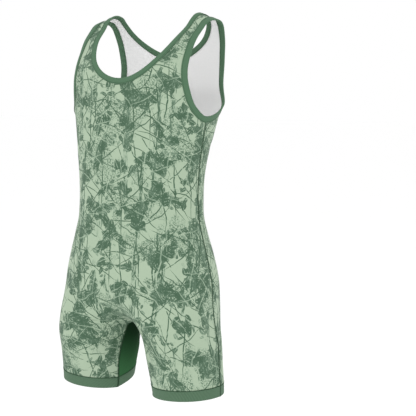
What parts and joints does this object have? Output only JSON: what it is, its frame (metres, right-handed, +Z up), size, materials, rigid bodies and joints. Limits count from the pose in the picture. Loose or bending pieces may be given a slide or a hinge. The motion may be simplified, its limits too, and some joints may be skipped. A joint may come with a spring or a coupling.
{
  "type": "wrestling singlet",
  "caption": "One-piece sleeveless wrestling singlet with bound scoop neck and armholes, short legs and elastic hem bands, held in its worn hollow form.",
  "frame": {"origin": "midway between the two shoulder straps, at the height where the neckline crosses the shoulder seam", "axes": "+X to the wearer's left, -Y to the front of the garment, +Z up"},
  "size_m": [0.3932, 0.2664, 0.8106],
  "materials": {
    "printed_cloth": "smooth stretch knit with a two-tone green camouflage print outside and plain pale grey inside",
    "gusset_cloth": "smooth dark green stretch knit",
    "binding": "matt ribbed green binding strip",
    "hem_band": "matt finely ribbed green elastic band"
  },
  "bodies": {
    "root": {"front_panel": "printed_cloth", "back_panel": "printed_cloth", "crotch_gusset": "gusset_cloth", "neck_binding": "binding", "armhole_binding_left": "binding", "armhole_binding_right": "binding", "hem_band_front_left": "hem_band", "hem_band_front_right": "hem_band", "hem_band_back_left": "hem_band", "hem_band_back_right": "hem_band", "hem_band_gusset_left": "hem_band", "hem_band_gusset_right": "hem_band"}
  },
  "joints": []
}
